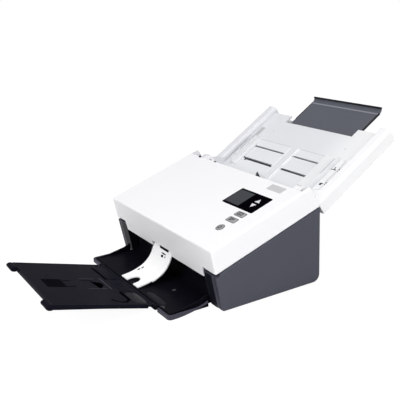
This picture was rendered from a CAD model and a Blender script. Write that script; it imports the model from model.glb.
import math

import bmesh
import bpy
import numpy as np
from mathutils import Matrix, Vector


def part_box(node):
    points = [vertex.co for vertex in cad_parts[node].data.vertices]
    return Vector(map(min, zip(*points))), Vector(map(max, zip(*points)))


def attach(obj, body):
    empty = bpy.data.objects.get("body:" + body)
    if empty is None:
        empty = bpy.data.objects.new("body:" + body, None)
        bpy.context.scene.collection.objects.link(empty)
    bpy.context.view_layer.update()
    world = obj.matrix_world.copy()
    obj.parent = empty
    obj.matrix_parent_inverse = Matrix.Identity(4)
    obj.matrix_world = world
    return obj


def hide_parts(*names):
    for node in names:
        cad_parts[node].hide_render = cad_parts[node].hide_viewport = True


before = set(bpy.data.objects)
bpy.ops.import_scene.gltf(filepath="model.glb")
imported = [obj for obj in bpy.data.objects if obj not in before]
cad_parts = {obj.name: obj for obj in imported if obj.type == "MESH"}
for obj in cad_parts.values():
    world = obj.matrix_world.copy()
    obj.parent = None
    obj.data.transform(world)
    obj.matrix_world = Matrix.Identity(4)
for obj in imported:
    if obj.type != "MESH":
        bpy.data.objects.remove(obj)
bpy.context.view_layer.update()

mm = 0.001


# The view: a camera at about a metre, in front of the scanner and to its right,
# a little above it, turned and tipped as the photograph is.
camera_place = Vector((0.86566, -0.52422, 0.42816))
yaw, pitch, roll = (math.radians(a) for a in (59.2976, 17.3307, -2.5839))
focal_pixels, picture_pixels = 669.84, 400
ahead = Vector((-math.sin(yaw) * math.cos(pitch), math.cos(yaw) * math.cos(pitch), -math.sin(pitch)))
level = ahead.cross(Vector((0, 0, 1))).normalized()
upright = level.cross(ahead)
side_on = math.cos(roll) * level + math.sin(roll) * upright
head_up = math.cos(roll) * upright - math.sin(roll) * level
camera = bpy.data.objects.new("camera", bpy.data.cameras.new("camera"))
camera.data.sensor_width = 36.0
camera.data.lens = focal_pixels / picture_pixels * camera.data.sensor_width
camera_turn = Matrix((side_on, head_up, -ahead)).transposed().to_4x4()
camera.matrix_world = Matrix.Translation(camera_place) @ camera_turn
bpy.context.scene.collection.objects.link(camera)
bpy.context.scene.camera = camera
bpy.context.scene.view_settings.view_transform = "Standard"


# The room: a plain white floor that keeps the scanner's shadow, and soft studio light
# from a large lamp overhead, a second one at the front and a strong one on the right.
white = (1.0, 1.0, 1.0, 1.0)
light_from_below, light_from_above = 0.2, 0.6
full_light_height = 0.9
floor_reach = 6.0
floor_colour = (0.82, 0.82, 0.82, 1.0)
floor_glow, floor_glow_share = 1.1, 0.86
lamp_table = (("lamp_overhead", (0.1, -0.35, 1.8), (0.0, 0.0, 0.05), 1.5, 8.8),
              ("lamp_front", (0.1, -1.75, 1.1), (0.0, -0.1, 0.06), 1.2, 17.0),
              ("lamp_right", (2.0, 0.1, 0.8), (0.05, 0.0, 0.08), 1.1, 18.8))


def join_shaders(tree, lit, seen, seen_share, output):
    """Rays that show the room, the camera's and those through glass, get the seen shader by its share.
    All others get the lit one."""
    path = tree.nodes.new("ShaderNodeLightPath")
    direct, share = (tree.nodes.new("ShaderNodeMath") for _ in range(2))
    direct.operation, share.operation = "MAXIMUM", "MULTIPLY"
    share.inputs[1].default_value = seen_share
    either = tree.nodes.new("ShaderNodeMixShader")
    end = tree.nodes.new(output)
    for source, node, k in (
            (path.outputs["Is Camera Ray"], direct, 0), (path.outputs["Is Transmission Ray"], direct, 1),
            (direct.outputs[0], share, 0), (share.outputs[0], either, 0), (lit.outputs[0], either, 1),
            (seen.outputs[0], either, 2), (either.outputs[0], end, 0)):
        tree.links.new(source, node.inputs[k])


def plain_shader(tree, kind, **values):
    """A shader node with plain values in its named sockets."""
    shader = tree.nodes.new(kind)
    for label, value in values.items():
        shader.inputs[label].default_value = value
    return shader


world = bpy.data.worlds.new("studio")
bpy.context.scene.world = world
world.use_nodes = True
air = world.node_tree
air.nodes.clear()
ambient, backdrop = (plain_shader(air, "ShaderNodeBackground", Color=white, Strength=1.0) for _ in range(2))
direction = air.nodes.new("ShaderNodeSeparateXYZ")
air.links.new(air.nodes.new("ShaderNodeTexCoord").outputs["Generated"], direction.inputs[0])
ramp_up = air.nodes.new("ShaderNodeMapRange")
for label, value in (("From Max", full_light_height), ("To Min", light_from_below),
                     ("To Max", light_from_above)):
    ramp_up.inputs[label].default_value = value
air.links.new(direction.outputs["Z"], ramp_up.inputs["Value"])
air.links.new(ramp_up.outputs["Result"], ambient.inputs["Strength"])
join_shaders(air, ambient, backdrop, 1.0, "ShaderNodeOutputWorld")

floor_mesh = bpy.data.meshes.new("floor")
floor_corners = [(x * floor_reach, y * floor_reach, 0) for x, y in ((-1, -1), (1, -1), (1, 1), (-1, 1))]
floor_mesh.from_pydata(floor_corners, [], [(0, 1, 2, 3)])
floor = bpy.data.objects.new("floor", floor_mesh)
bpy.context.scene.collection.objects.link(floor)
paint = bpy.data.materials.new("floor_white")
paint.use_nodes = True
paint.node_tree.nodes.clear()
matt = plain_shader(paint.node_tree, "ShaderNodeBsdfDiffuse", Color=floor_colour)
glow = plain_shader(paint.node_tree, "ShaderNodeEmission", Color=white, Strength=floor_glow)
join_shaders(paint.node_tree, matt, glow, floor_glow_share, "ShaderNodeOutputMaterial")
floor_mesh.materials.append(paint)

for lamp_name, place, aim, size, power in lamp_table:
    lamp = bpy.data.objects.new(lamp_name, bpy.data.lights.new(lamp_name, "AREA"))
    lamp.data.shape = "DISK"
    lamp.data.size = size
    lamp.data.energy = power
    lamp.location = place
    lamp.rotation_euler = (Vector(aim) - Vector(place)).to_track_quat("-Z", "Y").to_euler()
    bpy.context.scene.collection.objects.link(lamp)


# The base: one dark blue-grey moulding with side boxes, front pillars and rear wall, in
# ABS with a fine spark-eroded texture. Each pillar has a black inlay and a black cheek.
def new_group(name, inputs, outputs):
    """A shader node group with named inputs (name, default) and named outputs, all of them numbers."""
    group = bpy.data.node_groups.new(name, "ShaderNodeTree")
    for label, default in inputs:
        socket = group.interface.new_socket(name=label, in_out="INPUT", socket_type="NodeSocketFloat")
        socket.default_value = default
    for label in outputs:
        group.interface.new_socket(name=label, in_out="OUTPUT", socket_type="NodeSocketFloat")
    return group, group.nodes.new("NodeGroupInput"), group.nodes.new("NodeGroupOutput")


def place_group(tree, group, **values):
    """Puts a node group in a material, with the values of its named inputs."""
    node = tree.nodes.new("ShaderNodeGroup")
    node.node_tree = group
    for label, value in values.items():
        node.inputs[label].default_value = value
    return node


def feed(tree, socket, value):
    """Gives a socket its value: a number, a colour, or the output socket that it is linked to."""
    if isinstance(value, bpy.types.NodeSocket):
        tree.links.new(value, socket)
    else:
        socket.default_value = value


def math_node(tree, operation, a, b):
    """One Math node; a and b are numbers or output sockets."""
    node = tree.nodes.new("ShaderNodeMath")
    node.operation = operation
    feed(tree, node.inputs[0], a)
    feed(tree, node.inputs[1], b)
    return node.outputs[0]


def own_place(tree):
    """The point on the piece in its own coordinates."""
    return tree.nodes.new("ShaderNodeTexCoord").outputs["Object"]


def noise_node(tree, scale, detail):
    """Noise on the piece's own coordinates; scale is a number or a socket, in waves per metre."""
    node = tree.nodes.new("ShaderNodeTexNoise")
    for label, value in (("Vector", own_place(tree)), ("Scale", scale), ("Detail", detail)):
        feed(tree, node.inputs[label], value)
    return node.outputs["Fac"]


def mix_node(tree, below, above, factor):
    """Mixes two colours, each a colour or a socket, by a socket."""
    mix = tree.nodes.new("ShaderNodeMix")
    mix.data_type = "RGBA"
    for label, value in (("A", below), ("B", above), ("Factor", factor)):
        feed(tree, mix.inputs[label], value)
    return mix.outputs["Result"]


pit_spread, pit_depth, grit_depth = 0.7, 0.5, 0.7
mottle_waves, touch_waves, speck_waves = 11.0, 38.0, 420.0
skin_group, entry, leave = new_group("spark_texture", [("Grain", 1500.0)], ["Height", "Mottle"])
pits = skin_group.nodes.new("ShaderNodeTexVoronoi")
pit_scale = math_node(skin_group, "MULTIPLY", entry.outputs["Grain"], pit_spread)
skin_group.links.new(own_place(skin_group), pits.inputs["Vector"])
skin_group.links.new(pit_scale, pits.inputs["Scale"])
grit = noise_node(skin_group, entry.outputs["Grain"], 3.0)
deep_pits = math_node(skin_group, "MULTIPLY", pits.outputs["Distance"], pit_depth)
deep_grit = math_node(skin_group, "MULTIPLY", grit, grit_depth)
skin_group.links.new(math_node(skin_group, "ADD", deep_pits, deep_grit), leave.inputs["Height"])
skin_group.links.new(noise_node(skin_group, mottle_waves, 4.0), leave.inputs["Mottle"])

touch_group, entry, leave = new_group("handling", [("Amount", 0.05)], ["Shine"])
centred = math_node(touch_group, "SUBTRACT", noise_node(touch_group, touch_waves, 5.0), 0.5)
worn = math_node(touch_group, "MULTIPLY", centred, entry.outputs["Amount"])
touch_group.links.new(worn, leave.inputs["Shine"])

dust_group, entry, leave = new_group("dust", [("Amount", 0.05)], ["Mask"])
facing = dust_group.nodes.new("ShaderNodeSeparateXYZ")
dust_group.links.new(dust_group.nodes.new("ShaderNodeNewGeometry").outputs["Normal"], facing.inputs[0])
upward = math_node(dust_group, "MAXIMUM", facing.outputs["Z"], 0.0)
specks = math_node(dust_group, "POWER", noise_node(dust_group, speck_waves, 6.0), 3.0)
settled = math_node(dust_group, "MULTIPLY", upward, specks)
dusty_share = math_node(dust_group, "MULTIPLY", settled, entry.outputs["Amount"])
dust_group.links.new(dusty_share, leave.inputs["Mask"])
dust_grey = (0.4, 0.4, 0.39, 1.0)


def finish(name, colour, roughness, grain=1500, relief=2e-5, mottle=0.03, shine=0.1, dusty=0.08,
           specular=0.5, coat=0.0, metallic=0.0, anisotropic=0.0):
    """A surface whose colour drifts a little, with a fine grained skin, worn shine and settled dust."""
    material = bpy.data.materials.new(name)
    material.use_nodes = True
    tree = material.node_tree
    shader = tree.nodes["Principled BSDF"]
    texture = place_group(tree, skin_group, Grain=grain)
    darker, lighter = (tuple(min(c * share, 1.0) for c in colour) + (1.0,)
                       for share in (1 - mottle, 1 + mottle))
    drift = mix_node(tree, darker, lighter, texture.outputs["Mottle"])
    dust = place_group(tree, dust_group, Amount=dusty)
    touch = place_group(tree, touch_group, Amount=shine)
    bump = tree.nodes.new("ShaderNodeBump")
    bump.inputs["Strength"].default_value = 0.5
    bump.inputs["Distance"].default_value = relief
    feed(tree, bump.inputs["Height"], texture.outputs["Height"])
    for label, value in (
            ("Base Color", mix_node(tree, drift, dust_grey, dust.outputs["Mask"])),
            ("Roughness", math_node(tree, "ADD", touch.outputs["Shine"], roughness)),
            ("Normal", bump.outputs["Normal"]), ("Specular IOR Level", specular),
            ("Coat Weight", coat), ("Coat Roughness", 0.05),
            ("Metallic", metallic), ("Anisotropic", anisotropic)):
        feed(tree, shader.inputs[label], value)
    return material


def dress(material, *nodes):
    """Gives drawn parts their finish."""
    for node in nodes:
        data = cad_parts[node].data
        data.materials.clear()
        data.materials.append(material)


def rounded(centre, width, length, corner, steps=6):
    """A rectangle with round corners: four quarter circles about the four inset corners."""
    turn = np.linspace(0, np.pi / 2, steps)
    corners = []
    for k, (sx, sy) in enumerate(((1, 1), (-1, 1), (-1, -1), (1, -1))):
        middle = np.array([centre[0] + sx * (width / 2 - corner), centre[1] + sy * (length / 2 - corner)])
        angle = turn + k * np.pi / 2
        corners.append(middle + corner * np.column_stack((np.cos(angle), np.sin(angle))))
    return np.concatenate(corners)


def lofted(layers, closed=False):
    """Outlines in space with equal counts of points, each joined to the next by a wall of quads. The first
    and the last get a flat face, or are joined to each other where the shape is closed."""
    layers = np.asarray(layers, float)
    rings, count = layers.shape[:2]
    k = np.arange(count)
    around = np.roll(k, -1)
    here = np.arange(rings if closed else rings - 1)[:, None] * count
    there = (here + count) % (rings * count)
    walls = np.stack((here + k, here + around, there + around, there + k), axis=-1).reshape(-1, 4)
    ends = [] if closed else [k[::-1].tolist(), (k + (rings - 1) * count).tolist()]
    return layers.reshape(-1, 3), ends + walls.tolist()


def prism(outline, low, high):
    """A closed outline (u, v) carried straight from low to high: two flat ends and the wall between."""
    return lofted([np.column_stack((outline, np.full(len(outline), level))) for level in (low, high)])


def tilted(y, z, degrees):
    """Takes (x, along, above) of a slope that starts at (y, z) to the world, all in millimetres."""
    return Matrix.Translation((0, y * mm, z * mm)) @ Matrix.Rotation(math.radians(degrees), 4, "X")


flat = tilted(0, 0, 0)
sideways = Matrix(((0, 0, 1, 0), (1, 0, 0, 0), (0, 1, 0, 0), (0, 0, 0, 1)))
edge_segments = 3


def piece(name, solids, place, material, body, edge=0.0, facet=35):
    """One object of several closed solids in millimetres: place turns their points to the world. A place
    can mirror a shape, so the faces are then turned outwards again."""
    starts = np.cumsum([0] + [len(points) for points, faces in solids])
    points = np.concatenate([points for points, faces in solids]) * mm
    points = points @ np.array(place.to_3x3()).T + np.array(place.translation)
    faces = [[int(start) + k for k in face] for start, solid in zip(starts, solids) for face in solid[1]]
    mesh = bpy.data.meshes.new(name)
    mesh.from_pydata(points.tolist(), [], faces)
    shell = bmesh.new()
    shell.from_mesh(mesh)
    bmesh.ops.recalc_face_normals(shell, faces=shell.faces)
    shell.to_mesh(mesh)
    shell.free()
    mesh.materials.append(material)
    mesh.shade_smooth()
    mesh.set_sharp_from_angle(angle=math.radians(facet))
    made = bpy.data.objects.new(name, mesh)
    bpy.context.scene.collection.objects.link(made)
    if edge:
        bevel = made.modifiers.new("eased_edges", "BEVEL")
        bevel.width = edge * mm
        bevel.segments = edge_segments
        bevel.limit_method = "ANGLE"
        bevel.harden_normals = True
    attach(made, body)
    return made


slate = finish("slate_textured", (0.055, 0.0575, 0.079), 0.55, grain=1300, relief=5e-5, mottle=0.05,
               dusty=0.05, specular=0.35)
dress(slate, "base_shell")
pillar_black = finish("pillar_inlay", (0.0075, 0.0078, 0.0125), 0.42, grain=1300, mottle=0.05, dusty=0.0,
                      specular=0.1)
pillar_place = tilted(-73.64, 0.0, 100.54)
inlay_middle, inlay_length, inlay_corner = 30.0, 53.2, 0.6
cheek_outline = ((-74.2, 6.0), (-60.0, 6.0), (-60.0, 56.5), (-83.3, 56.5))
cheek_outer, cheek_inner = 126.3, 125.86
both_sides = (("left", -1), ("right", 1))
for side, sign in both_sides:
    inlays = []
    for middle, width in ((134.9, 16.4), (152.2, 1.4)):
        outline = rounded((sign * middle, inlay_middle), width, inlay_length, inlay_corner)
        inlays.append(prism(outline, -0.4, 0.12))
    piece(f"pillar_inlay_{side}", inlays, pillar_place, pillar_black, "base", edge=0.1)
    cheek = prism(cheek_outline, *sorted((sign * cheek_outer, sign * cheek_inner)))
    piece(f"pillar_cheek_{side}", [cheek], sideways, pillar_black, "base", edge=0.1)


# Bottom plate and feet: galvanised sheet steel closes the base and is held by six
# pan-head screws, and four rubber feet are stuck under the corners.
def circle(centre, radius, sides=24):
    """A circle: centre plus radius times (cosine, sine) of even steps of a full turn."""
    turn = np.arange(sides) * 2 * np.pi / sides
    return np.array(centre) + radius * np.column_stack((np.cos(turn), np.sin(turn)))


def rect(u0, u1, v0, v1):
    """A rectangle from u0 to u1 and from v0 to v1."""
    return np.array([(u0, v0), (u1, v0), (u1, v1), (u0, v1)], float)


def block(middle, width, length, low, high):
    """A plain block about a middle point (u, v), from low to high."""
    u, v = middle
    return prism(rect(u - width / 2, u + width / 2, v - length / 2, v + length / 2), low, high)


zinc = finish("zinc_plated", (0.52, 0.53, 0.55), 0.36, grain=700, relief=1.5e-5, mottle=0.12, dusty=0.04,
              metallic=1.0)
rubber = finish("rubber_matt", (0.026, 0.026, 0.027), 0.82, grain=1900, relief=4e-5, mottle=0.1,
                dusty=0.12, specular=0.3)
black = finish("black_satin", (0.01, 0.01, 0.012), 0.42, grain=1600, mottle=0.08, dusty=0.06,
               specular=0.4)
dress(zinc, "bottom_plate")
dress(rubber, "foot_front_left", "foot_front_right", "foot_rear_left", "foot_rear_right")
screw_radius, screw_shoulder = 2.8, 0.78
cross_length, cross_width = 3.0, 0.6
screw_places = [(x, y) for x in (-146.0, 0.0, 146.0) for y in (-66.0, 80.0)]
heads = []
cross_slots = []
for place in screw_places:
    heads.append(prism(circle(place, screw_radius), 1.1, 2.45))
    heads.append(prism(circle(place, screw_radius * screw_shoulder), 0.75, 1.3))
    for width, length in ((cross_length, cross_width), (cross_width, cross_length)):
        cross_slots.append(block(place, width, length, 0.68, 0.9))
piece("bottom_screws", heads, flat, zinc, "base", edge=0.2)
piece("bottom_screw_recesses", cross_slots, flat, black, "base")


# Main board: green glass-fibre board with copper tracks under the mask, its processor,
# memory, connectors and capacitors soldered on top, behind the two sockets at the rear.
def box_of(node):
    """The low and high corners of a drawn part, in millimetres."""
    low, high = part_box(node)
    return low / mm, high / mm


solder_gap = 0.05
board_top = box_of("main_board")[1].z + solder_gap
mask_green = finish("solder_mask", (0.016, 0.105, 0.045), 0.38, grain=260, relief=4e-5, mottle=0.25,
                    dusty=0.05, coat=0.3)
dress(mask_green, "main_board")
chip_spots = ((-78, 62, 16, 16), (-50, 66, 10, 8), (-50, 54, 10, 8), (-22, 62, 12, 12), (10, 70, 8, 6),
              (-102, 50, 9, 7), (18, 46, 10, 8))
chip_thick, chip_corner = 1.3, 0.4
leg_pitch, leg_width, leg_length = 1.6, 0.6, 1.1
leg_reach, leg_thick = 0.5, 0.5
chips = [prism(rounded((x, y), w, d, chip_corner, 3), board_top, board_top + chip_thick)
         for x, y, w, d in chip_spots]
piece("board_chips", chips, flat, black, "base", edge=0.15)
legs = []
for x, y, w, d in chip_spots:
    count = int(w / leg_pitch)
    for k in range(count):
        for side in (-1, 1):
            spot = (x - w / 2 + (k + 0.5) * w / count, y + side * (d / 2 + leg_reach))
            legs.append(block(spot, leg_width, leg_length, board_top, board_top + leg_thick))
piece("board_chip_legs", legs, flat, zinc, "base")
can_spots = ((-6, 40, 4.0, 9.0), (4, 40, 4.0, 9.0), (-112, 72, 3.2, 7.0), (30, 62, 3.2, 7.0),
             (30, 76, 2.5, 6.0))
cans = [prism(circle((x, y), r), board_top, board_top + h) for x, y, r, h in can_spots]
bright = finish("bright_aluminium", (0.62, 0.62, 0.63), 0.28, grain=900, relief=1e-5, mottle=0.06,
                dusty=0.03, metallic=1.0)
piece("board_capacitors", cans, flat, bright, "base", edge=0.5)
ivory = finish("ivory_nylon", (0.66, 0.63, 0.54), 0.5, grain=900, mottle=0.06)
headers = []
for x, y, length in ((-96, 34, 16), (-66, 34, 10), (24, 33.5, 12), (-36, 34, 8)):
    headers.append(block((x, y - 0.6), length, 4.0, board_top, board_top + 5))
    headers.append(block((x, y + 2.2), length, 0.8, board_top, board_top + 7))
piece("board_connectors", headers, flat, ivory, "base", edge=0.2)


# Ports in the rear wall: a nickel-plated data socket with its ivory contact tongue, and
# a round black power inlet.
nickel = finish("nickel_plated", (0.6, 0.59, 0.56), 0.24, grain=1100, relief=1e-5, mottle=0.06, dusty=0.03,
                metallic=1.0)
dress(nickel, "usb_socket")
dress(black, "power_inlet")
rearward = Matrix(((-1, 0, 0, 0), (0, 0, 1, 0), (0, 1, 0, 0), (0, 0, 0, 1)))
socket_low, socket_high = box_of("usb_socket")
socket_x, socket_z = -(socket_low.x + socket_high.x) / 2, (socket_low.z + socket_high.z) / 2
socket_back = socket_low.y + 2.2
tongue_width, tongue_thick = 5.6, 3.2
tongue_end, contact_end = socket_high.y - 3.0, socket_high.y - 3.4
contact_width, contact_thick = 1.0, 0.24
tongue_block = block((socket_x, socket_z), tongue_width, tongue_thick, socket_back, tongue_end)
piece("socket_tongue", [tongue_block], rearward, ivory, "base", edge=0.3)
contacts = [block((socket_x + x, socket_z + z), contact_width, contact_thick, socket_back, contact_end)
            for x in (-1.3, 1.3) for z in (-1.62, 1.62)]
gilt = finish("gilt_contact", (0.7, 0.5, 0.2), 0.28, grain=900, relief=1e-5, metallic=1.0)
piece("socket_contacts", contacts, rearward, gilt, "base")


# Paper path: a white feed ramp behind the cover's rear edge and a black lower sheet
# guide with low ribs that keep the sheet off its face, screwed between the side walls.
tray_white = finish("white_tray_plastic", (0.87, 0.88, 0.895), 0.46, grain=1200, relief=3e-5, mottle=0.012,
                    dusty=0.03, specular=0.42)
dress(tray_white, "feed_ramp")
dress(black, "lower_guide")
path_place = tilted(50.2, 82.7, 18.3)
rib_stretches = ((-119.0, -86.0), (-72.0, -60.0), (-48.0, -10.0))
rib_half = 0.6


def path_ribs(columns, low, high):
    """Sheet ribs along the paper path: one for each column and each stretch between the rollers."""
    return [prism(rect(x - rib_half, x + rib_half, start, end), low, high)
            for x in columns for start, end in rib_stretches]


piece("lower_guide_ribs", path_ribs((-111, -96, -80, 0, 80, 96, 111), -0.45, -0.15), path_place, black,
      "base", edge=0.1)


# Scan modules: two black bars, each with a white reference strip and a clear light
# guide behind its glass, one below the sheet in the base and one above it in the cover.
satin_black = finish("black_housing", (0.014, 0.014, 0.017), 0.5, grain=1300, relief=3e-5, mottle=0.08)
dress(satin_black, "lower_scan_module", "upper_scan_module", "upper_guide")
scan_glass = finish("scan_glass", (0.42, 0.46, 0.47), 0.05, grain=600, relief=1e-6, mottle=0.01, shine=0.03,
                    dusty=0.02, coat=0.2)
scan_glass.node_tree.nodes["Principled BSDF"].inputs["Transmission Weight"].default_value = 0.85
scan_glass.node_tree.nodes["Principled BSDF"].inputs["IOR"].default_value = 1.5
dress(scan_glass, "lower_scan_glass", "upper_scan_glass")
strip_white = finish("reference_white", (0.8, 0.8, 0.79), 0.6, relief=1e-5, mottle=0.01)
bar_length, bar_thick = 222.0, 0.12
bar_table = (("_reference_strip", -82.0, 3.0, strip_white, "white"),
             ("_light_guide", -77.5, 2.0, bright, "steel"))
for where, body, level in (("lower", "base", -3.68), ("upper", "cover", 4.22)):
    for bar_name, along, width, material, slot in bar_table:
        bar = block((0.0, along), bar_length, width, level, level + bar_thick)
        piece(where + bar_name, [bar], path_place, material, body)


# Drive train: ground steel shafts with rubber tyres, white acetal gears on the left of
# the side wall, and a direct-current motor with its end cap.
drawn_steel = finish("drawn_steel", (0.58, 0.58, 0.59), 0.25, grain=500, relief=1e-5, mottle=0.05,
                     dusty=0.02, metallic=1.0, anisotropic=0.4)
dark_steel = finish("blackened_steel", (0.035, 0.035, 0.038), 0.4, grain=800, relief=1e-5, mottle=0.1,
                    metallic=1.0)
acetal = finish("white_acetal", (0.7, 0.69, 0.65), 0.42, grain=1100, mottle=0.02)
drives = ("feed", "transport", "exit")
dress(drawn_steel, *[name + "_shaft" for name in drives], "motor_pinion")
dress(rubber, *[f"{name}_tyre_{side}" for name in drives for side in ("left", "right")])
dress(acetal, *[name + "_gear" for name in drives], "feed_idler", "exit_idler", "guide_pinion")
dress(zinc, "drive_motor")
motor_low, motor_high = box_of("drive_motor")
motor_axis = np.array([(motor_low.y + motor_high.y) / 2, (motor_low.z + motor_high.z) / 2])
motor_end = motor_high.x
cap_radius, bearing_radius = 13.0, 4.0
terminal_reach, terminal_width, terminal_thick = 8.0, 2.4, 0.6
cap_solids = [prism(circle(motor_axis, cap_radius), motor_end + 0.05, motor_end + 1.6),
              prism(circle(motor_axis, bearing_radius), motor_end + 1.4, motor_end + 3.2)]
piece("motor_end_cap", cap_solids, sideways, black, "base", edge=0.3)
terminals = [block(motor_axis + (side * terminal_reach, 0), terminal_width, terminal_thick, motor_end + 1.7,
                   motor_end + 5.2) for side in (-1, 1)]
piece("motor_terminals", terminals, sideways, nickel, "base")
web_count, web_half = 6, 0.6
web_start, web_end = 4.4, 11.6
web_proud, web_sunk = 0.35, 0.1
for name in drives:
    low, high = box_of(name + "_gear")
    axis = np.array([(low.y + high.y) / 2, (low.z + high.z) / 2])
    webs = []
    for turn in np.arange(web_count) * 2 * np.pi / web_count:
        across = np.array([np.cos(turn), np.sin(turn)])
        aside = np.array([-across[1], across[0]])
        corners = [axis + across * r + aside * w for r, w in (
            (web_start, -web_half), (web_end, -web_half), (web_end, web_half), (web_start, web_half))]
        webs.append(prism(corners, low.x - web_proud, low.x + web_sunk))
    piece(name + "_gear_webs", webs, sideways, acetal, name + "_drive", edge=0.1)


# Output tray: a near-black moulding with a polished floor, a low domed ridge and short
# size marks at its front, and a satin lip, clipped to the base between the front pillars.
charcoal = finish("charcoal_floor", (0.004, 0.0042, 0.0068), 0.3, relief=8e-6, mottle=0.1, dusty=0.0,
                  specular=0.02)
charcoal_sheen = finish("charcoal_sheen", (0.0066, 0.0068, 0.0108), 0.36, relief=8e-6, mottle=0.1,
                        dusty=0.0, specular=0.1)
lip_grey = finish("lip_grey", (0.04, 0.041, 0.06), 0.5, mottle=0.05, dusty=0.0, specular=0.25)
dress(charcoal, "output_tray")


def carried_band(path, half_thick, low, high):
    """A rectangle carried along a flat path of (x, y) points: each point is moved aside by half_thick
    along the path's normal, and its low and high edges have one level for each point."""
    step = np.gradient(path, axis=0)
    step /= np.linalg.norm(step, axis=1)[:, None]
    aside = np.column_stack((step[:, 1], -step[:, 0])) * half_thick
    return lofted(np.stack([np.column_stack((path + sign * aside, level))
                            for sign, level in ((1, low), (1, high), (-1, high), (-1, low))], axis=1))


cap_ease, cap_ease_steps = 0.7, 5
cap_ring_shares = (0.88, 0.12)


def crowned_cap(centre, width, length, power, low, rim, crown, sides=48, rings=8):
    """A cap whose rings are superellipses |x|^p + |y|^p = r^p, rounded over from the rim and domed by
    crown times one minus the square of the ring's share of the full size; its skirt runs down to low."""
    turn = np.arange(sides) * 2 * np.pi / sides
    waves = (np.cos(turn), np.sin(turn))
    unit = np.column_stack([np.sign(wave) * np.abs(wave) ** (2 / power) for wave in waves])
    round_over = np.linspace(0, np.pi / 2, cap_ease_steps)
    inset = np.concatenate(([0.0], cap_ease * (1 - np.cos(round_over))))
    level = np.concatenate(([low], rim - cap_ease + cap_ease * np.sin(round_over)))
    full = np.array((width, length)) / 2
    layers = [np.column_stack((centre + unit * (full - i), np.full(sides, h))) for i, h in zip(inset, level)]
    layers += [np.column_stack((centre + unit * (full - cap_ease) * share,
                                np.full(sides, rim + crown * (1 - share * share))))
               for share in np.linspace(*cap_ring_shares, rings)]
    return lofted(layers)


output_floor = 7.0
lip_side_x, lip_front_y = 131.6, -145.6
lip_corner_radius, lip_half_thick = 4.4, 1.6
corner_turn = np.linspace(-np.pi / 2, 0, 8)
lip_corner = np.column_stack((lip_side_x + lip_corner_radius * (np.cos(corner_turn) - 1),
                              lip_front_y + lip_corner_radius * (np.sin(corner_turn) + 1)))
lip_front = np.column_stack((np.linspace(99.0, 125.0, 6), np.full(6, lip_front_y)))
lip_side = np.column_stack((np.full(14, lip_side_x), np.linspace(-138.0, -83.0, 14)))
lip_path = np.concatenate((lip_front, lip_corner, lip_side))
lip_top = 7.1 + 5.5 * np.clip((lip_path[:, 1] + 104.0) / 21.0, 0, 1) ** 2
lip_low = 0.35 + 8.5 * np.clip((lip_path[:, 1] + 134.0) / 51.0, 0, 1) ** 1.6
for side, sign in both_sides:
    band = carried_band(lip_path * (sign, 1), lip_half_thick, lip_low, lip_top)
    piece(f"output_lip_{side}", [band], flat, lip_grey, "base", edge=0.9)
front_ridge = crowned_cap((72.0, -133.4), 54.0, 12.0, 2.6, 5.0, 7.15, 0.9)
piece("output_front_ridge", [front_ridge], flat, charcoal_sheen, "base", facet=60)
mark_grey = finish("grey_mark", (0.16, 0.16, 0.17), 0.6, grain=1800, relief=5e-6, mottle=0.02, dusty=0.0)
mark_levels = (output_floor - 0.2, output_floor + 0.12)
mark_spots = ((99.0, -139.5), (101.5, -137.5), (104.5, -139.0))
size_marks = [block(spot, 1.0, 2.4, *mark_levels) for spot in mark_spots]
square_mark = ((60.2, 60.7, -100.9, -96.6), (63.6, 64.1, -100.9, -96.6), (60.2, 64.1, -101.1, -100.6),
               (60.2, 64.1, -97.0, -96.5), (61.6, 62.8, -99.4, -98.2))
size_marks += [prism(rect(*bounds), *mark_levels) for bounds in square_mark]
piece("output_size_marks", size_marks, flat, mark_grey, "base")


# Output extension: a charcoal plate that folds up on its hinge, with domed hinge bodies,
# a pocket with two rows of teeth, slots, a finger arc and a grille cut through it.
charcoal_plate = finish("charcoal_plate", (0.0058, 0.0061, 0.0112), 0.36, relief=1e-5, mottle=0.1,
                        dusty=0.0, specular=0.02)
slot_dark = finish("slot_shadow", (0.0004, 0.0004, 0.0006), 0.9, grain=900, relief=1e-5, shine=0.0,
                   dusty=0.0, specular=0.0)
tooth_grey = finish("tooth_grey", (0.05, 0.051, 0.066), 0.45, relief=1e-5, mottle=0.04, dusty=0.0,
                    specular=0.2)
dress(charcoal_plate, "output_extension")
dress(dark_steel, "extension_pin")
stop_place = tilted(-295.5, 50.8, -16.0)
lengthwise = Matrix(((1, 0, 0, 0), (0, 0, 1, 0), (0, 1, 0, 0), (0, 0, 0, 1)))
inlay_sunk = -0.5


def stop_inlay(name, outlines, material, proud, edge=0.0):
    """Thin raised or flush shapes on the extension's face: outlines in (x, along) and how proud they are."""
    solids = [prism(outline, inlay_sunk, proud) for outline in outlines]
    piece("extension_" + name, solids, stop_place, material, "stop_plate", edge=edge)


tooth_pitch, tooth_length, tooth_half = 3.0, 1.5, 1.2
teeth = [rect(x - tooth_half, x + tooth_half, along, along + tooth_length)
         for x, start, end in ((-17.5, 83.0, 106.0), (25.0, 83.0, 112.0))
         for along in np.arange(start, end, tooth_pitch)]
stop_inlay("pocket_teeth", teeth, tooth_grey, 0.3, edge=0.15)
wedge = ((-8.0, 97.0), (25.0, 101.0), (8.0, 113.0), (0.0, 111.0))
stop_inlay("wedge", [wedge, rect(-13.5, -11.5, 85.0, 101.0)], slot_dark, 0.1)
stop_inlay("step_line", [rect(-21.0, 26.0, 117.2, 118.6)], tooth_grey, 0.25)
hinge_slots = [rounded(*slot_shape, 4)
               for slot_shape in (((-44.0, 127.6), 58.0, 3.0, 1.2), ((55.0, 125.4), 34.0, 4.2, 1.4))]
stop_inlay("slots", hinge_slots, slot_dark, 0.15)
hinge_low, hinge_rim = -2.6, 0.5
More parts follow.
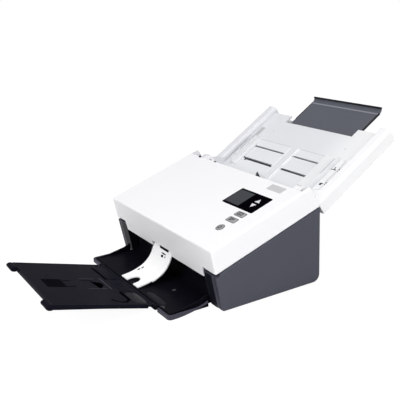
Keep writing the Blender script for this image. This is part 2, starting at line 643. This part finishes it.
hinge_bodies = [crowned_cap((middle, 139.5), width, 20.0, power, hinge_low, hinge_rim, crown)
                for middle, width, power, crown in ((-45.0, 56.0, 4.0, 0.5), (12.0, 50.0, 6.0, 0.1))]
hinge_crown = crowned_cap((64.0, 139.0), 47.0, 21.0, 3.0, hinge_low, hinge_rim, 1.1)
for name, caps, material in (("extension_hinge_bodies", hinge_bodies, charcoal_plate),
                             ("extension_hinge_crown", [hinge_crown], charcoal_sheen)):
    piece(name, caps, stop_place, material, "stop_plate", facet=60)
arc = np.linspace(-1.45, 1.25, 16)
arc_middle = (66.2, 111.4)
inner_rim, outer_rim = (arc_middle + r * np.column_stack((np.cos(arc), np.sin(arc))) for r in (11.2, 14.2))
arc_steps = [np.concatenate([outer_rim[k:k + 2], inner_rim[k:k + 2][::-1]]) for k in range(len(arc) - 1)]
stop_inlay("finger_arc", arc_steps, slot_dark, 0.12)
fine_lines = [rect(-10.9, -9.1, 56.0, 68.0), rect(15.0, 16.8, 51.5, 66.0)]
stop_inlay("fine_lines", fine_lines, slot_dark, 0.1)
bar_count, bar_pitch, bar_width = 8, 4.2, 1.6
grille_left, grille_start, grille_end, bar_step = -14.0, 23.0, 52.0, 1.2
bars = [rect(grille_left + bar_pitch * k, grille_left + bar_width + bar_pitch * k, grille_start,
             grille_end + bar_step * (k % 3)) for k in range(bar_count)]
stop_inlay("grille_bars", bars, slot_dark, 0.1)
backing = [prism(rect(-16.0, 20.0, 22.5, 53.0), -3.4, -2.8)]
piece("extension_grille_backing", backing, stop_place, slot_dark, "stop_plate")
ear_end = circle((0.0, 0.0), 1.0) * (6.2, 4.2) + (2.0, -3.7)
ears = [prism(ear_end, *span) for span in ((-91.0, -66.5), (66.5, 91.0))]
piece("extension_corner_ears", ears, stop_place @ sideways, charcoal_plate, "stop_plate",
      edge=2.2)
edge_x, edge_width, edge_height, edge_corner = 89.4, 2.6, 5.8, 1.2
side_rims = [prism(rounded((x, -2.6), edge_width, edge_height, edge_corner, 5), 6.0, 146.0)
             for x in (-edge_x, edge_x)]
piece("extension_side_rims", side_rims, stop_place @ lengthwise, charcoal_plate, "stop_plate")


# Hinge pins and posts: blackened pins in white posts that stand on the side boxes and
# carry the input tray.
cover_white = finish("white_cover_plastic", (0.865, 0.863, 0.885), 0.45, grain=1200, relief=3e-5,
                     mottle=0.01, dusty=0.02, specular=0.42)
dress(dark_steel, "cover_pin_left", "cover_pin_right", "tongue_pin", "tray_pin_left", "tray_pin_right")
dress(cover_white, "tray_bracket_left", "tray_bracket_right")


# Free rollers and upper guide: rubber drums on thin shafts that run against the driven
# tyres, in a black chassis with low sheet ribs under the cover.
dress(rubber, "separation_roller", "transport_pinch_roller", "exit_pinch_roller")
piece("upper_guide_ribs", path_ribs((-106, -94, -80, 80, 94, 106), 1.36, 1.75), path_place, satin_black,
      "cover")


# Cover: one white ABS moulding with a spark-eroded skin, stiffened by ribs inside its
# top, with two small rubber bumpers at its rear edge.
dress(cover_white, "cover_shell")
top_place = tilted(-91.2, 95.9, 18.3)
rib_width, rib_near, rib_far = 1.8, 12.0, 60.0
cover_ribs = [prism(rect(x - rib_width / 2, x + rib_width / 2, rib_near, rib_far), -5.4, -2.3)
              for x in (-120, -60, 0, 60)]
piece("cover_inner_ribs", cover_ribs, top_place, cover_white, "cover", edge=0.2)
bumpers = [prism(rect(*bounds), -0.8, high)
           for bounds, high in (((-125.2, -120.6, 165.4, 168.4), 2.0), ((-77.0, -72.0, 166.4, 168.4), 1.1))]
piece("cover_rear_bumpers", bumpers, top_place, rubber, "cover", edge=0.4)


# Output tongue: a white springy sheet guide that hangs from the cover, with a dark
# sensor window near its root, a slot, an eye and dots in its curve, and two low ridges.
tongue_white = finish("white_tongue_plastic", (0.97, 0.97, 0.975), 0.42, grain=1400, mottle=0.01,
                      dusty=0.02)
window_black = finish("sensor_window", (0.006, 0.006, 0.008), 0.12, grain=900, relief=2e-6, shine=0.05,
                      coat=0.5)
dress(tongue_white, "output_tongue")
tongue_handles = np.array(((-77.5, 52.6), (-87.5, 48.5), (-80.0, 14.5), (-141.0, 10.0)))
patch_steps, patch_sunk, patch_end_width = 9, -0.3, 0.55


def tongue_line(share):
    """A point (y, z) of the tongue's upper face: the cubic curve through its four handles."""
    t = np.atleast_1d(share)[:, None]
    weights = ((1 - t) ** 3, 3 * t * (1 - t) ** 2, 3 * t ** 2 * (1 - t), t ** 3)
    return sum(handle * weight for handle, weight in zip(tongue_handles, weights))


def tongue_inlay(name, centre_x, half_width, start, end, corner, material, proud=0.12):
    """A thin patch on the tongue: a strip in (x, curve share) whose half width grows over the corner from
    each end as a sine, wrapped on the curve and given a depth along the curve's normal."""
    grid = np.linspace(start, end, patch_steps)
    line = tongue_line(grid)
    tangent = tongue_line(grid + 0.002) - line
    tangent /= np.linalg.norm(tangent, axis=1)[:, None]
    out = np.column_stack((tangent[:, 1], -tangent[:, 0]))
    out *= np.where(out[:, 1] < 0, -1.0, 1.0)[:, None]
    reach = np.minimum(1.0, np.minimum(grid - start, end - grid) / corner)
    half = half_width * (patch_end_width + (1 - patch_end_width) * np.sin(reach * np.pi / 2))
    edges = ((-half, patch_sunk), (half, patch_sunk), (half, proud), (-half, proud))
    rows = [np.column_stack((centre_x + aside, line + out * level)) for aside, level in edges]
    piece(name, [lofted(np.stack(rows, axis=1))], flat, material, "tongue")


window = prism(rect(-9.0, 18.0, -81.6, -79.2), 46.6, 53.6)
piece("tongue_window", [window], flat, window_black, "tongue", edge=0.5)
for name, centre_x, half_width, start, end, corner in (
        ("tongue_slot", 6.8, 7.4, 0.262, 0.3, 0.02), ("tongue_eye", 4.5, 3.4, 0.325, 0.395, 0.02),
        ("tongue_dot", 13.0, 1.5, 0.33, 0.37, 0.02), ("tongue_edge_dot_0", -23.0, 1.7, 0.795, 0.835, 0.01),
        ("tongue_edge_dot_1", -20.5, 1.7, 0.745, 0.785, 0.01)):
    tongue_inlay(name, centre_x, half_width, start, end, corner, window_black)
for name, centre_x in (("tongue_ridge", -14.0), ("tongue_ridge_right", 14.0)):
    tongue_inlay(name, centre_x, 1.0, 0.42, 0.93, 0.02, tongue_white, proud=0.3)


# Control panel: a black glossy plate let into the cover, with a grey liquid-crystal
# window under its left part and two printed arrows at its right.
gloss_black = finish("gloss_black_panel", (0.0016, 0.0016, 0.0026), 0.1, grain=500, relief=2e-6,
                     shine=0.05, dusty=0.0, specular=0.0)
screen_grey = finish("display_glass", (0.036, 0.04, 0.048), 0.16, grain=420, relief=2e-6, mottle=0.05,
                     shine=0.05, dusty=0.0, specular=0.15)
frame_grey = finish("display_frame", (0.01, 0.01, 0.013), 0.25, grain=500, relief=2e-6, dusty=0.0,
                    specular=0.1)
print_grey = finish("grey_print", (0.66, 0.67, 0.69), 0.5, relief=3e-6, mottle=0.02)
panel_low, panel_high = box_of("display_panel")
panel_front, panel_rear = 91.4, 132.5
panel_middle = ((panel_low.x + panel_high.x) / 2, (panel_front + panel_rear) / 2)
panel_width, panel_length = panel_high.x - panel_low.x, panel_rear - panel_front
panel_corner, screen_corner = 2.4, 0.8
plate = prism(rounded(panel_middle, panel_width, panel_length, panel_corner, 8), -1.1, 0.42)
panel_plate = piece("panel_plate", [plate], top_place, gloss_black, "cover", edge=0.28)
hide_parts("display_panel")
screen_margin = 2.6
screen_width, screen_length = panel_width * 0.52 - 5.0, panel_length - 8.0
screen_middle = (panel_low.x + screen_margin + screen_width / 2, panel_middle[1])
pane = prism(rounded(screen_middle, screen_width, screen_length, screen_corner, 4), 0.2, 0.56)
screen = piece("display_window", [pane], top_place, screen_grey, "cover", edge=0.08)
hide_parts("display_screen")
bezel_width = 0.6
across_reach, along_reach = screen_width / 2 + 0.6, screen_length / 2 + 0.4
bezel = []
for side in (-1, 1):
    far_side = (screen_middle[0], screen_middle[1] + side * along_reach)
    near_side = (screen_middle[0] + side * across_reach, screen_middle[1])
    bezel.append(block(far_side, 2 * across_reach + bezel_width, bezel_width, 0.2, 0.5))
    bezel.append(block(near_side, bezel_width, 2 * along_reach, 0.2, 0.5))
piece("display_bezel", bezel, top_place, frame_grey, "cover")
arrow_x, arrow_half = 113.5, 5.4
arrows = []
for half, foot, tip in ((arrow_half, 114.6, 122.8), (-arrow_half, 110.2, 102.0)):
    arrows.append(prism(((arrow_x - half, foot), (arrow_x + half, foot), (arrow_x, tip)), 0.3, 0.5))
piece("panel_arrows", arrows, top_place, print_grey, "cover", edge=0.04)


# Keys: two oblong and one round grey cap that press into the cover, each crowned and in
# a darker rim, with a printed sign: a sheet outline, lines of text and the power sign.
key_grey = finish("grey_key_plastic", (0.33, 0.33, 0.34), 0.42, grain=1400, mottle=0.02, dusty=0.03)
rim_grey = finish("grey_key_rim", (0.06, 0.06, 0.075), 0.5, grain=1400, relief=1e-5, mottle=0.02, dusty=0.0)
sign_dark = finish("dark_print", (0.006, 0.006, 0.009), 0.5, relief=3e-6, mottle=0.04)
key_x, key_low, key_top, key_crown = 116.8, -5.4, 0.9, 0.22
rim_gap, oblong_rim, round_rim = 0.2, 0.9, 1.3
oblong_corner_share = 0.4
keys = (("menu", 81.8, 20.0, 9.0, 5.0), ("stop", 66.3, 20.0, 9.0, 5.0), ("power", 44.9, 11.2, 11.2, 2.0))


def stroke(start, end, width, low, high):
    """A printed line: a box from start to end, as wide as the pen."""
    start, end = np.array(start, float), np.array(end, float)
    along = (end - start) / np.linalg.norm(end - start)
    across = np.array([-along[1], along[0]]) * width / 2
    return prism([start - across, end - across, end + across, start + across], low, high)


def ring_between(outer, inner, low, high):
    """A closed ring between two outlines of equal counts, from low to high."""
    rows = ((outer, low), (outer, high), (inner, high), (inner, low))
    return lofted([np.column_stack((row, np.full(len(row), level))) for row, level in rows], closed=True)


key_rims = []
for name, along, width, length, power in keys:
    dome = crowned_cap((key_x, along), width, length, power, key_low, key_top, key_crown)
    cap = piece(name + "_key_cap", [dome], top_place, key_grey, name + "_key", facet=50)
    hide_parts(name + "_button")
    oblong = width > length
    corner = length / 2 * (oblong_corner_share if oblong else 1.0)
    outlines = [rounded((key_x, along), width + 2 * grow, length + 2 * grow, corner + grow - 0.01, 8)
                for grow in (rim_gap + (oblong_rim if oblong else round_rim), rim_gap)]
    key_rims.append(ring_between(*outlines, -0.4, 0.1))
piece("key_rims", key_rims, top_place, rim_grey, "cover")
sheet_sign = (((111.6, 79.4), (122.0, 79.4)), ((122.0, 79.2), (122.0, 84.4)), ((122.2, 84.2), (113.4, 84.2)),
              ((113.6, 84.3), (111.7, 82.4)), ((111.8, 82.6), (111.8, 79.2)), ((113.6, 81.5), (120.0, 81.5)))
line_sign = (((111.4, 68.2), (122.2, 68.2)), ((111.4, 66.0), (122.2, 66.0)), ((111.4, 63.9), (117.8, 63.9)))
ring_turn = np.linspace(math.radians(125), math.radians(415), 17)
ring_points = (key_x, 44.7) + 3.0 * np.column_stack((np.cos(ring_turn), np.sin(ring_turn)))
power_sign = tuple(zip(ring_points, ring_points[1:]))
sign_levels = (key_top - 0.1, key_top + 0.3)
for name, lines, pen in (("menu", sheet_sign, 1.2), ("stop", line_sign, 1.3), ("power", power_sign, 1.4)):
    strokes = [stroke(start, end, pen, *sign_levels) for start, end in lines]
    if name == "power":
        strokes.append(stroke((key_x, 44.8), (key_x, 49.0), 1.0, *sign_levels))
    piece(name + "_key_sign", strokes, top_place, sign_dark, name + "_key")


# Release bar: a pale grey key at the top's rear edge that frees the cover, with three
# grip ribs moulded on its face.
bar_grey = finish("pale_grey_key", (0.56, 0.56, 0.57), 0.44, grain=1300, mottle=0.02, dusty=0.03)
dress(bar_grey, "release_bar")
grip_x, grip_length, grip_width, grip_corner = 109.4, 27.0, 0.8, 0.35
grips = [prism(rounded((grip_x, along), grip_length, grip_width, grip_corner, 3), -0.2, 0.22)
         for along in (153.3, 155.5, 157.7)]
piece("release_bar_grips", grips, top_place, bar_grey, "release_key", edge=0.1)


# Input tray: a white moulding with hollow rails, raised pads that carry the stack, a
# ridge beside the pinion, a black sensor flag, two size marks and a clip-on back cover.
tray_place = tilted(100.1, 113.9, 32.0)
fade_group, entry, leave = new_group("side_fade", [("Start", 0.0), ("End", 1.0)], ["Mask"])
fade_place = fade_group.nodes.new("ShaderNodeSeparateXYZ")
fade_group.links.new(own_place(fade_group), fade_place.inputs[0])
fade = fade_group.nodes.new("ShaderNodeMapRange")
fade.interpolation_type = "SMOOTHSTEP"
for socket, source in (("Value", fade_place.outputs["X"]), ("From Min", entry.outputs["Start"]),
                       ("From Max", entry.outputs["End"])):
    fade_group.links.new(source, fade.inputs[socket])
fade_group.links.new(fade.outputs["Result"], leave.inputs["Mask"])


def paler_side(material, start, end, colour):
    """Fades a finish to a paler colour as the piece's own x goes from start to end, in millimetres."""
    tree = material.node_tree
    mask = place_group(tree, fade_group, Start=start * mm, End=end * mm).outputs["Mask"]
    skin = tree.nodes["Principled BSDF"].inputs["Base Color"]
    tree.links.new(mix_node(tree, skin.links[0].from_socket, (*colour, 1.0), mask), skin)
    return material


tray_moulding = finish("white_tray_moulding", (0.69, 0.7, 0.73), 0.46, grain=1200, relief=3e-5,
                       mottle=0.01, dusty=0.02)
pad_white = finish("white_pad", (0.72, 0.73, 0.75), 0.5, grain=1200, relief=3e-5, mottle=0.01, dusty=0.02)
step_grey = finish("grey_step", (0.3, 0.305, 0.32), 0.5, grain=1400, relief=1e-5)
ridge_white = finish("white_ridge", (0.92, 0.923, 0.93), 0.44, grain=1200, mottle=0.008, dusty=0.0)
recess_grey = finish("recess_grey", (0.45, 0.455, 0.47), 0.55, grain=1300, mottle=0.02)
dress(tray_white, "tray_back_cover")
dress(paler_side(tray_moulding, 30.0, 136.0, (0.85, 0.853, 0.86)), "input_tray")
pad_columns = ((-105.0, -12.5), (10.0, 74.0))
pad_rows = ((8.0, 49.1), (52.3, 79.8), (83.0, 99.0))
pad_front, pad_rear = pad_rows[0][0], pad_rows[-1][1]
pad_corner, rim_half, pad_step_length = 1.2, 0.45, 0.5
pads = []
pad_rims = []
for left, right in pad_columns:
    for near, far in pad_rows:
        middle = ((left + right) / 2, (near + far) / 2)
        pads.append(prism(rounded(middle, right - left, far - near, pad_corner, 5), -0.2, 0.2))
    for x in (left, right):
        pad_rims.append(prism(rect(x - rim_half, x + rim_half, pad_front, pad_rear), -0.2, 0.26))
pad_steps = [prism(rect(left, right, pad_rear, pad_rear + pad_step_length), -0.2, 0.1)
             for left, right in ((-104.0, -13.0), (11.0, 73.0))]
ridge = prism(rounded((6.2, 54.0), 2.6, 91.0, 1.2, 4), -0.2, 1.1)
flag = prism(((-27.0, -0.4), (-12.5, -0.4), (-10.2, 13.6), (-11.6, 14.4)), 18.6, 20.4)
piece("tray_sensor_flag", [flag], tray_place @ lengthwise, black, "tray", edge=0.3)
slot_width, slot_floor, slot_top = 3.0, -2.95, -2.75
slot_shadows = [prism(rounded((-88.5, 47.4), 5.0, 4.6, 0.8, 4), -0.4, 0.22)]
slot_shadows += [prism(rect(left, right, near, 49.3), -0.4, 0.24)
                 for left, right, near in ((-87.0, -14.0, 46.8), (12.0, 72.0, 47.9))]
slot_shadows += [prism(rect(left, right, near, near + slot_width), slot_floor, slot_top)
                 for left, right in ((-123.0, -17.0), (8.0, 123.0)) for near in (49.2, 79.9)]
piece("tray_slot_shadows", slot_shadows, tray_place, black, "tray")
rest = prism(rounded((-123.4, 113.0), 11.0, 29.0, 0.8, 4), -0.2, 0.1)
dots = [prism(circle(spot, 0.9, 16), -0.1, 0.1) for spot in ((-91.0, 124.4), (96.0, 123.0))]
nubs = [prism(circle(spot, 2.2, 20), -0.3, 0.9) for spot in ((-6.0, 25.0), (-1.0, 21.5))]
for name, solids, material, edge in (
        ("pads", pads, pad_white, 0.15), ("pad_steps", pad_steps, step_grey, 0.0),
        ("middle_ridge", [ridge], ridge_white, 0.5), ("pad_rims", pad_rims, ridge_white, 0.0),
        ("left_rest", [rest], recess_grey, 0.0), ("dots", dots, step_grey, 0.0),
        ("nubs", nubs, pad_white, 0.5)):
    piece("tray_" + name, solids, tray_place, material, "tray", edge=edge)


# Tray extension: a blue-grey plate that slides out of the tray, with a pale step before
# its end, a dark rolled bead at the end and dark edges.
extension_slate = finish("slate_extension", (0.08, 0.085, 0.108), 0.42, grain=1300, relief=3e-5,
                         mottle=0.04, dusty=0.03, specular=0.42)
lip_light = finish("slate_lip", (0.21, 0.215, 0.25), 0.38, grain=1300)
edge_black = finish("dark_slate_edge", (0.012, 0.012, 0.017), 0.4, grain=1400, mottle=0.05, dusty=0.0,
                    specular=0.2)
dress(extension_slate, "tray_extension")
half_extension = box_of("tray_extension")[1].x - 1.0
step_near, step_far = 215.6, 218.6
bead_radius, bead_past = 1.75, 1.2
strip_near, strip_far = 172.0, 220.0
strip_inner, strip_outer = half_extension - 0.6, half_extension + 1.35
step_strip = prism(rect(-half_extension, half_extension, step_near, step_far), -8.4, -7.78)
piece("extension_lip_step", [step_strip], tray_place, lip_light, "extension", edge=0.1)
bead = prism(circle((227.2, -3.6), bead_radius, 20), -half_extension - bead_past,
             half_extension + bead_past)
piece("extension_end_bead", [bead], tray_place @ sideways, edge_black, "extension", edge=0.6)
side_strips = [prism(rect(left, right, strip_near, strip_far), -10.7, -7.72)
               for left, right in ((-strip_outer, -strip_inner), (strip_inner, strip_outer))]
piece("extension_side_edges", side_strips, tray_place, edge_black, "extension", edge=0.3)


# Side guides: two white fences with a flat foot, racked together under the tray, each
# with a groove along its outer face and a sloped foot edge. The right foot has marks.
guide_white = finish("white_guide_plastic", (0.72, 0.728, 0.742), 0.46, grain=1200, relief=3e-5,
                     mottle=0.01, dusty=0.0)
dress(paler_side(guide_white, 0.0, 100.0, (0.795, 0.803, 0.817)), "side_guide_left", "side_guide_right")
fence_outer, groove_sunk, groove_proud = 108.5, 0.2, 0.12
foot_edge, chamfer_edge = 118.9, 120.8
foot_top, chamfer_low, chamfer_top = 1.6, 0.35, 1.56
for side, sign in both_sides:
    groove_span = sorted((sign * (fence_outer - groove_sunk), sign * (fence_outer + groove_proud)))
    groove = prism(rounded((74.0, 11.0), 36.0, 1.0, 0.4, 3), *groove_span)
    piece(side + "_guide_groove", [groove], tray_place @ sideways, recess_grey, "guide_" + side)
    chamfer = prism(((sign * foot_edge, chamfer_low), (sign * chamfer_edge, chamfer_low),
                     (sign * foot_edge, chamfer_top)), 32.0, 98.0)
    piece(side + "_guide_chamfer", [chamfer], tray_place @ lengthwise, guide_white, "guide_" + side)
foot_marks = (((108.4, 76.6), (114.6, 77.4)), ((113.2, 83.0), (115.0, 77.0)), ((114.6, 77.4), (118.3, 76.6)),
              ((113.8, 45.6), (118.8, 46.2)))
foot_levels = (foot_top - 0.2, foot_top + 0.08)
marks = [stroke(start, end, 1.7, *foot_levels) for start, end in foot_marks]
marks.append(prism(rect(112.9, 117.3, 41.8, 46.0), *foot_levels))
piece("right_guide_marks", marks, tray_place, sign_dark, "guide_right")
scale_marks = [stroke(start, end, 1.6, -0.2, 0.08)
               for start, end in (((121.3, 46.2), (125.6, 46.3)), ((121.3, 76.9), (124.6, 76.2)))]
piece("tray_scale_marks", scale_marks, tray_place, sign_dark, "tray")
